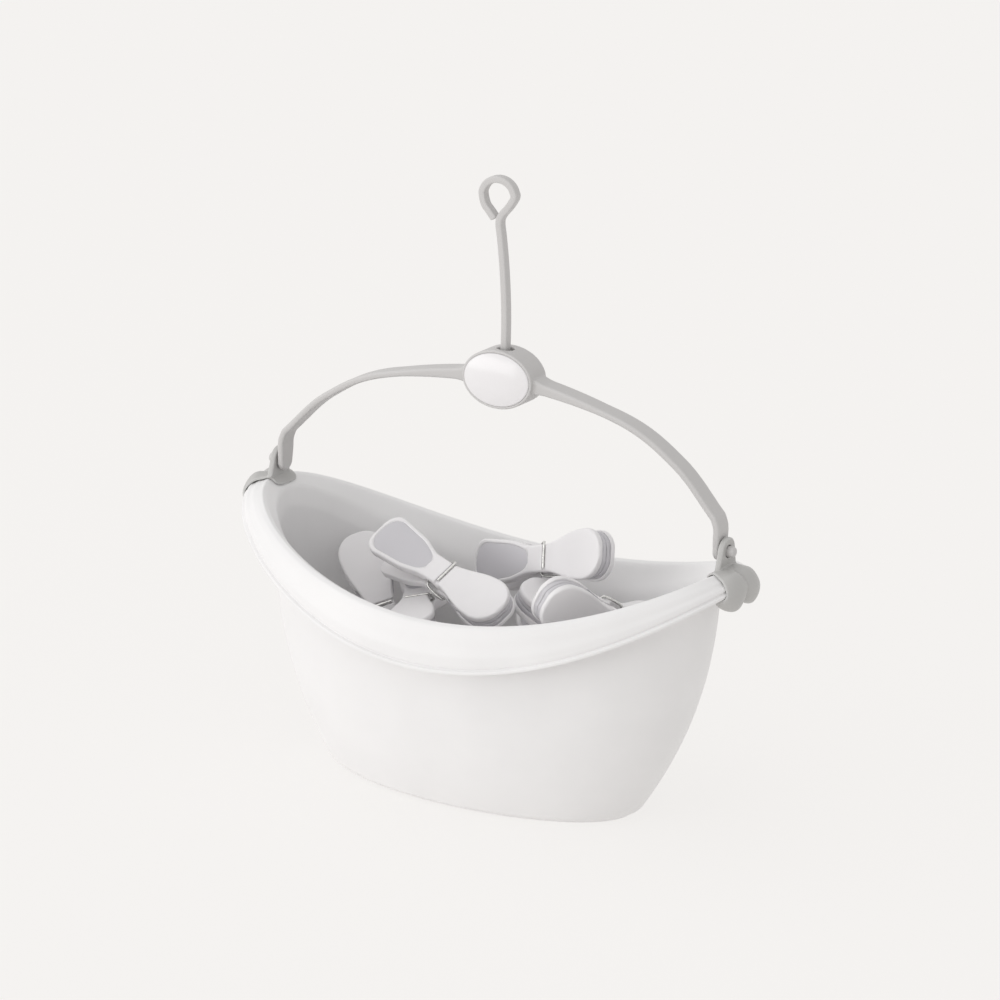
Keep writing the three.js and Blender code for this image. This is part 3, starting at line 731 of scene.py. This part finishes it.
def weld(mesh, *others):
    work = bmesh.new()
    work.from_mesh(mesh)
    bmesh.ops.remove_doubles(work, verts=work.verts, dist=1e-7)
    for other in others:
        work.from_mesh(other)
        bpy.data.meshes.remove(other)
    work.to_mesh(mesh)
    work.free()


weld(hook.data, mesh_of("round foot", bar("z", 5, 204.0, 207.0, edge=0.5)))
print("hook spans", [round(v / mm, 1) for v in hook.dimensions], "mm, open edges:", face_outward(hook.data))
hand_over(hook, grey_plastic, "grey_plastic", "hook", "hook")

# %% [markdown]
# A peg is two alike arms on a wire spring. An arm has a broad grip with a soft inlay in a shallow recess, a
# narrow waist with a groove for the wire, and a round jaw with a soft pad inside. A loft along the arm
# gives all of this. Its width, top and underside are tables along the arm, eased so that no corner of a
# table shows.

# %% The arm's outline
def eased(x, table, blur):
    xs, ys = np.array(table, float).T
    return np.mean([np.interp(x + shift, xs, ys) for shift in np.linspace(-blur, blur, 15)], axis=0)


def round_end(x, middle, reach, power):
    far = np.clip((x - middle) / reach, 0, 1)
    return np.maximum(1 - np.abs(far) ** power, 0) ** (1 / power)


def arm_width(x):
    table = [(-60, 11.4), (-33, 11.4), (-16, 9.6), (-7.5, 6.7), (-3, 6.5), (7, 6.5), (10, 6.9)]
    table += [(14, 7.9), (19.4, 9.6), (24, 10.9), (28, 11.6), (34, 12), (60, 12)]
    return eased(x, table, 2.0) * round_end(-x, 32, 8, 2.5) * round_end(x, 33, 12, 2.2)


def arm_top(x):
    table = [(-60, 10.8), (-36, 10.8), (-33, 10.5), (-16, 7.8), (-6.5, 6.1), (14, 6.1), (19.4, 5.7)]
    table += [(22, 5.9), (34, 5.9), (40, 5.6), (43.7, 5.2), (45, 4.8)]
    return eased(x, table, 2.5)


def arm_under(x):
    table = [(-60, 7.6), (-40, 7.6), (-37.5, 7.1), (-33, 6.2), (-16, 3.2), (-6.6, 1.5), (-3.9, 1.2)]
    table += [(-2.6, 3.2), (0, 3.8), (2.6, 3.2), (3.9, 1.2), (9.9, 1.2), (12, 1.2), (13.9, 2.9), (19.4, 2.9)]
    table += [(22, 0.15), (60, 0.15)]
    return eased(x, table, 0.6)


def shell_under(x):
    pad = eased(x, [(12, 1.7), (15, 3.4), (19.4, 3.4), (22, 2.6), (60, 2.6)], 0.8)
    return np.where(x < 12, arm_under(x), np.maximum(arm_under(x) + 0.5, pad))


print("the arm is", 2 * float(arm_width(34.0)), "mm wide at its jaw")

# %% [markdown]
# Each section of the arm is a rounded box whose top dips where the inlay lies, so recess and rim are real.
# Sections stand closer together at the ends and at the edges of the recess and the groove, where the shape
# changes fast.

# %% The arm's sections
grip_end, jaw_end = -40, 45
inlay_from, inlay_to = -38.0, -5.5
bar_at, groove_half, groove_edge = 6.0, 1.35, 0.3


def inlay_width(x):
    shape = round_end(-x, -(inlay_from + 8), 8, 2.4) * round_end(x, inlay_to - 5, 5, 2.2)
    inside = (x > inlay_from) & (x < inlay_to)
    return np.where(inside, np.maximum(arm_width(np.maximum(x, -33.0)) - 1.9, 0.2) * shape, 0.0)


def bar_groove(x):
    return 1.2 * np.clip((groove_half - abs(x - bar_at)) / groove_edge, 0, 1)


def arm_section(x, edge=1.25, dip=0.55):
    half, top, under = float(arm_width(x)), float(arm_top(x)), float(shell_under(x))
    tip = min(x - grip_end, jaw_end - x)
    ease = edge - math.sqrt(max(edge**2 - max(edge - tip, 0) ** 2, 0))
    top, under = top - ease - float(bar_groove(x)), under + 0.5 * ease
    corner = min(edge, 0.48 * (top - under), 0.9 * half)
    low = min(0.5, 0.4 * (top - under), 0.8 * half)
    wide = float(inlay_width(x))
    lowered = dip if wide > 0.3 else 0.0
    wide = wide if lowered else 0.55 * half
    flat, shelf = half - corner, top - corner
    right = [(half * s, under) for s in (0.2, 0.6)] + [(half - low, under)]
    right += [(half - 0.3 * low, under + 0.3 * low), (half, under + low)]
    quarter = np.linspace(0, np.pi / 2, 7)
    right += [(flat + corner * math.cos(t), shelf + corner * math.sin(t)) for t in quarter]
    right += [(min(wide + 0.12, flat), top), (min(wide - 0.1, flat), top - lowered)]
    right += [(0.6 * wide, top - lowered), (0.25 * wide, top - lowered)]
    left = [(-y, z) for y, z in reversed(right)]
    return [(x, y, z) for y, z in right + left]


def stops_along(start, end, marks=()):
    count = int((end - start) / 1.1)
    even = np.linspace(start, end, count)
    near = 1 - np.cos(np.linspace(0, np.pi / 2, 14))
    return np.unique(np.round(np.concatenate([even, start + 8 * near, end - 8 * near, marks]), 4))


groove_marks = [bar_at + s for s in (-groove_half, groove_edge - groove_half)]
groove_marks += [bar_at + s for s in (groove_half - groove_edge, groove_half)]
marks = [x + s for x in groove_marks for s in (-0.02, 0.02)]
marks += list(np.linspace(inlay_from, inlay_from + 3, 10)) + list(np.linspace(inlay_to - 3, inlay_to, 10))
arm_stops = stops_along(grip_end + 0.03, jaw_end - 0.03, marks)
arm_shell = loft([arm_section(x) for x in arm_stops])
print("arm:", len(arm_stops), "sections,", len(arm_shell[1]), "faces")

# %% [markdown]
# The soft pieces are moulded onto the arm in a second shot: the inlay under the thumb, and the jaw pad,
# which also lines the round eye behind the jaw. They are lofts between the arm's own surfaces, sunk a
# little into the white.

# %% The soft inlay and jaw pad
def inlay_section(x, crown=0.12, edge_drop=0.12, depth=0.7):
    half = max(float(inlay_width(x)) - 0.02, 0.05)
    top = float(arm_top(x)) - 0.18
    ys = np.concatenate([[-1, -0.96, -0.85], np.linspace(-0.7, 0.7, 9), [0.85, 0.96, 1]]) * half
    over = [(x, y, top + crown * (1 - (y / half) ** 2) - edge_drop * (abs(y) / half) ** 10) for y in ys]
    return over + [(x, half, top - depth), (x, -half, top - depth)]


def jaw_section(x):
    half = max(float(arm_width(x)) - (0.8 if x > 20 else 0.05), 0.3)
    under, top = float(arm_under(x)), float(shell_under(x)) + 0.08
    soft = min(0.45, 0.4 * (top - under), 0.5 * half)
    right = [(0.5 * half, under), (half - soft, under), (half - 0.3 * soft, under + 0.3 * soft)]
    right += [(half, under + soft), (half, top), (0.5 * half, top)]
    return [(x, y, z) for y, z in right + [(-y, z) for y, z in reversed(right)]]


inlay_stops = stops_along(inlay_from + 0.03, inlay_to - 0.03)
jaw_stops = stops_along(12.3, 44.2)
soft_shells = [loft([inlay_section(x) for x in inlay_stops]), loft([jaw_section(x) for x in jaw_stops])]
print("soft pieces:", [len(faces) for _, faces in soft_shells], "faces")

# %% [markdown]
# The spring is one wire: a coil between the arms and a leg at each end, round the edge of an arm to a bar
# in its groove. The third tree sweeps a circle along the wire's line. A round section needs no fixed
# normal.

# %% The wire's tree
tree, given = new_tree("Wire along a line", ("Radius", float), ("Sides", int))
curve = grow(tree, "GeometryNodeMeshToCurve", {0: given["Source"]})
sizes = {"Resolution": given["Sides"], "Radius": given["Radius"]}
circle = grow(tree, "GeometryNodeCurvePrimitiveCircle", sizes)
swept = grow(tree, "GeometryNodeCurveToMesh", {"Curve": curve.outputs[0], "Profile Curve": circle.outputs[0]})
swept.inputs["Fill Caps"].default_value = True
close_tree(tree, swept.outputs[0], given["Finish"])
wire_tree = tree
print("tree:", tree.name, "with", len(tree.nodes), "nodes")

# %% [markdown]
# One leg is drawn, and the other is the same leg with half a turn about the length of the peg. With the arm
# and the soft pieces, the spring is a pattern that is made once and laid eleven times.

# %% The spring and the patterns
waist, waist_top, groove_seat = 6.5, 6.1, 0.85


def spring_line(turns=3, pitch=2.1, radius=2.7, wire=1.5):
    edge, height, across = waist + gap + wire / 2, waist_top + wire / 2 - groove_seat, bar_at
    leg = [(-radius, edge - wire, 0), (-radius + 0.5 * wire, edge, 0.4 * wire)]
    leg += [(across - 0.5 * wire, edge, height - 0.4 * wire), (across, edge - 0.6 * wire, height)]
    leg += [(across, edge - 1.6 * wire, height), (across, wire - waist, height)]
    along = np.linspace(-0.5, 0.5, 24 * turns + 1)
    turn = 2 * np.pi * turns * along
    coil = np.stack([radius * np.cos(turn), pitch * turns * along, radius * np.sin(turn)], axis=1)
    back = [(x, -y, -z) for x, y, z in reversed(leg)]
    return np.vstack([cut_corners(back, 2), coil, cut_corners(leg, 2)])


path = point_mesh("wire line", spring_line() * mm, path=True)
spring_pattern = freeze("spring_pattern", path, wire_tree, Radius=0.65 * mm, Sides=14, Finish=spring_wire)
weld(spring_pattern.data)
arm_pattern = add_object("arm_pattern", mesh_of("arm_pattern", arm_shell))
soft_pattern = add_object("soft_pattern", mesh_of("soft_pattern", *soft_shells))
print("patterns:", [len(p.data.polygons) for p in (arm_pattern, soft_pattern, spring_pattern)], "faces")

# %% [markdown]
# Eleven pegs lie in the tub. Placing each by hand would be eleven chances to slip, so the fourth tree lays
# a pattern at a list of points, each with its turn, and joins what rides on one body into one mesh. The
# upper arm lies as the peg does, and the lower arm is the same arm with half a turn about the peg's length.

# %% The laying tree
tree, given = new_tree("Lay a pattern at points", ("Pattern", "NodeSocketObject"))
pattern = grow(tree, "GeometryNodeObjectInfo", {"Object": given["Pattern"]})
named = grow(tree, "GeometryNodeInputNamedAttribute", {"Name": "turns"}, data_type="FLOAT_VECTOR")
turned = grow(tree, "FunctionNodeEulerToRotation", {0: named.outputs["Attribute"]})
places = {"Points": given["Source"], "Instance": pattern.outputs["Geometry"], "Rotation": turned.outputs[0]}
laid = grow(tree, "GeometryNodeInstanceOnPoints", places)
close_tree(tree, laid.outputs[0], given["Finish"])
laying_tree = tree
print("tree:", tree.name, "with", len(tree.nodes), "nodes")

# %% [markdown]
# A peg's place is its coil's middle in millimetres, and its turn is given in degrees about its length, its
# width and the upright, in that order. They are the places of the solid pegs.

# %% Where the pegs lie
pegs = {
    "a": ((-23.994, -7.9895, 99.0), (36, 9, -19)),
    "b": ((12.9456, 25.0154, 106.0), (74, -19, -20)),
    "c": ((65.1744, -6.061, 95.7), (-106, -21, -113)),
    "d": ((-60.0408, 6.0059, 67.0), (-30, -46, 150)),
    "e": ((-38.3904, -2.3693, 81.2), (14, 0, -66)),
    "f": ((19.9764, 5.0141, 69.0), (0, 0, -65)),
    "g": ((48.9924, 9.8078, 74.2), (-6, -29, -179)),
    "h": ((-10.044, -2.4795, 41.0), (0, 0, 90)),
    "i": ((16.74, 2.4795, 41.0), (0, 0, -90)),
    "j": ((0, -12.3, 14.5), (0, 0, 0)),
    "k": ((0, 12.3, 14.5), (0, 0, 180)),
}


def lay(name, pattern, finish, letters, sides):
    spots, turns = [], []
    for letter in letters:
        spot, (roll, tilt, turn) = pegs[letter]
        for side in sides:
            half_turn = 180 if side == "lower" else 0
            spots.append(np.array(spot) * mm)
            turns.append([math.radians(v) for v in (roll + half_turn, tilt, turn)])
    source = point_mesh(name, spots, turns=turns)
    return freeze(name, source, laying_tree, Pattern=pattern, Finish=finish)


print("the highest peg lies at", max(spot[2] for spot, _ in pegs.values()), "mm")

# %% [markdown]
# An arm that opens is a piece of its own, and so is the arm that it opens from. Pegs that stay shut need no
# such split, and the four at the bottom make one piece. The soft pieces go with the arms they are moulded
# on.

# %% The pegs' arms and soft pieces
batches = [(f"peg_{k}_{side}", k, [side]) for k in "abcde" for side in ("upper", "lower")]
batches += [(f"peg_{k}", k, ["upper", "lower"]) for k in "fg"] + [("peg_bed", "hijk", ["upper", "lower"])]
for name, letters, sides in batches:
    body = "basket"
    if name.endswith("upper"):
        body = f"peg_{letters}_top"
    elif letters in "abc":
        body = f"peg_{letters}"
    nodes = [f"peg_{k}_{side}_arm" for k in letters for side in sides]
    arms = lay(f"{name}_shell", arm_pattern, peg_plastic, letters, sides)
    hand_over(arms, peg_plastic, "peg_plastic", body, *nodes)
    soft = lay(f"{name}_soft", soft_pattern, soft_rubber, letters, sides)
    hand_over(soft, soft_rubber, "soft_grip", body, *nodes)

# %% [markdown]
# A spring is laid with its peg's upper arm. The springs of the pegs that open ride on no body and have their
# place baked into their mesh; the others ride on the basket.

# %% The pegs' springs
bend_reach = 2.4
for letters in ["a", "b", "c", "d", "e", "f", "g", "hijk"]:
    name = f"peg_{letters}_wire" if len(letters) == 1 else "peg_bed_wire"
    wire = lay(name, spring_pattern, spring_wire, letters, ["upper"])
    body = f"peg_{letters}" if letters in "abc" else "basket"
    bends = letters in "abcde"
    nodes = [f"peg_{k}_spring" for k in letters]
    hand_over(wire, spring_wire, "spring_wire", None if bends else body, *nodes)
    if bends:
        spot, (roll, tilt, turn) = pegs[letters]
        up = Euler([math.radians(v) for v in (roll, tilt, turn)]).to_matrix() @ Vector((0, 0, bend_reach))
        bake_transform(wire)

for pattern in (arm_pattern, soft_pattern, spring_pattern):
    bpy.data.objects.remove(pattern)
print("pegs laid:", len(pegs))

# %% [markdown]
# The basket stands on a plain pale floor. To the camera the floor is mostly its own pale colour, so the
# background stays even and the shadow stays faint. A white floor under strong lamps would do that too, but
# it would bleach the basket. The floor glows a little for the other rays as well, which lights the foot.

# %% The floor
pale = linear(244, 242, 240) + [1]
glow_share = 0.4


def seen_directly(tree):
    rays = grow(tree, "ShaderNodeLightPath").outputs
    either = sums(tree, "MAXIMUM", rays["Is Camera Ray"], rays["Is Glossy Ray"])
    return sums(tree, "MAXIMUM", either, rays["Is Transmission Ray"])


floor_finish = bpy.data.materials.new("pale floor")
floor_finish.use_nodes = True
tree = floor_finish.node_tree
matte = tree.nodes["Principled BSDF"]
matte.inputs["Base Color"].default_value = pale
matte.inputs["Roughness"].default_value = 0.9
glow = grow(tree, "ShaderNodeEmission", {"Color": pale, "Strength": 1.04})
share = sums(tree, "MULTIPLY_ADD", seen_directly(tree), glow_share, glow_share)
blend = grow(tree, "ShaderNodeMixShader", {0: share, 1: matte.outputs[0], 2: glow.outputs[0]})
tree.links.new(blend.outputs[0], tree.nodes["Material Output"].inputs["Surface"])
floor_mesh = bpy.data.meshes.new("floor")
floor_mesh.from_pydata([(-9, -9, 0), (9, -9, 0), (9, 9, 0), (-9, 9, 0)], [], [(0, 1, 2, 3)])
floor = add_object("floor", floor_mesh)
floor.data.materials.append(floor_finish)
floor.location.z = -0.0002
print("floor:", [round(v, 2) for v in floor.dimensions], "m")

# %% [markdown]
# A pale world fills the shade evenly, as the walls of a white studio would. Behind the floor the camera
# sees the floor's own colour instead, so that no horizon shows.

# %% The world
world = bpy.data.worlds.new("studio")
world.use_nodes = True
bpy.context.scene.world = world
tree = world.node_tree
fill = tree.nodes["Background"]
fill.inputs["Color"].default_value = (1.0, 0.995, 0.99, 1)
fill.inputs["Strength"].default_value = 0.64
plain = grow(tree, "ShaderNodeBackground", {"Color": pale, "Strength": 1.0})
blend = grow(tree, "ShaderNodeMixShader", {0: seen_directly(tree), 1: fill.outputs[0], 2: plain.outputs[0]})
tree.links.new(blend.outputs[0], tree.nodes["World Output"].inputs["Surface"])
print("world fills with", round(fill.inputs["Strength"].default_value, 2))

# %% [markdown]
# The light comes from the front left. A sun with a very wide angle lights the basket from above with no
# edge to its shadow, and a low soft box brightens the front wall.

# %% The lamps
lamp_aim, lamp_distance = Vector((0, 0, 0.1)), 1.6


def direction(azimuth, elevation):
    a, e = math.radians(azimuth), math.radians(elevation)
    return Vector((math.sin(a) * math.cos(e), -math.cos(a) * math.cos(e), math.sin(e)))


def hang_lamp(name, kind, energy, way):
    lamp = bpy.data.objects.new(name, bpy.data.lights.new(name, kind))
    lamp.data.energy = energy
    lamp.location = lamp_aim + lamp_distance * way
    lamp.rotation_euler = way.to_track_quat("Z", "Y").to_euler()
    bpy.context.scene.collection.objects.link(lamp)
    return lamp


sun = hang_lamp("soft sun", "SUN", 0.76, direction(-50, 50))
sun.data.angle = math.radians(110)
box = hang_lamp("low soft box", "AREA", 5.0, direction(-35, 6))
box.data.shape, box.data.size, box.data.size_y = "RECTANGLE", 1.4, 0.5
print("lamps:", sun.name, "and", box.name)

# %% [markdown]
# The camera stands where the photograph was taken: to the right of the front and a little above, far off
# with a long lens, and turned slightly, because the photograph is not level.

# %% Camera
azimuth, elevation, roll, distance = 28.534, 17.269, math.radians(2.806), 2.6
aim_right, aim_up = 0.0022, 0.0275
back = direction(azimuth, elevation)
right = Vector((math.cos(math.radians(azimuth)), math.sin(math.radians(azimuth)), 0))
up = back.cross(right)
tilted_right = math.cos(roll) * right + math.sin(roll) * up
tilted_up = math.cos(roll) * up - math.sin(roll) * right
centre = Vector((0, 0, 0.11))
eye = centre + distance * back
aim = centre + aim_right * tilted_right + aim_up * tilted_up
away = (eye - aim).normalized()
side = tilted_up.cross(away).normalized()
turn = Matrix((side, away.cross(side), away)).transposed()
lens = bpy.data.cameras.new("camera")
lens.sensor_width, lens.lens = 36, 201.69
lens.clip_end = 50
camera = bpy.data.objects.new("camera", lens)
bpy.context.scene.collection.objects.link(camera)
camera.matrix_world = Matrix.Translation(eye) @ turn.to_4x4()
bpy.context.scene.camera = camera
bpy.context.scene.view_settings.view_transform = "Standard"
print("camera at", [round(v, 3) for v in eye])
